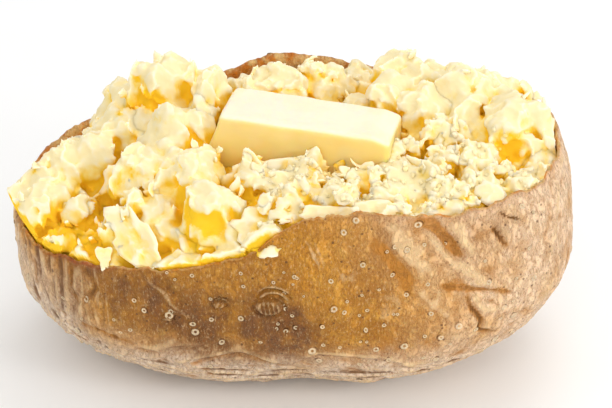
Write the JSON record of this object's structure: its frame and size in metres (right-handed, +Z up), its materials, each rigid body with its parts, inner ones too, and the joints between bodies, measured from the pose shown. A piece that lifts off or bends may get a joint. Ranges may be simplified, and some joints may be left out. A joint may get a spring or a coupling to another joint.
{
  "type": "baked potato with butter",
  "caption": "Baked potato in its jacket, torn open along the top, with the soft flesh forked up into a heap and a slab of butter laid in it.",
  "frame": {"origin": "on the ground, under the middle of the potato's outline", "axes": "+X along the potato, towards its blunt end; +Z up; -Y towards the low side of the torn edge"},
  "size_m": [0.1232, 0.076, 0.0628],
  "materials": {
    "baked_skin": "thin baked potato skin, dry and softly satin, with russet speckles and corky spots",
    "potato_flesh": "floury forked potato flesh, pale cream on the ridges and golden in the hollows",
    "soft_butter": "softening butter, smooth and slightly glossy"
  },
  "bodies": {
    "root": {"skin": "baked_skin", "flesh": "potato_flesh", "butter": "soft_butter"}
  },
  "joints": []
}
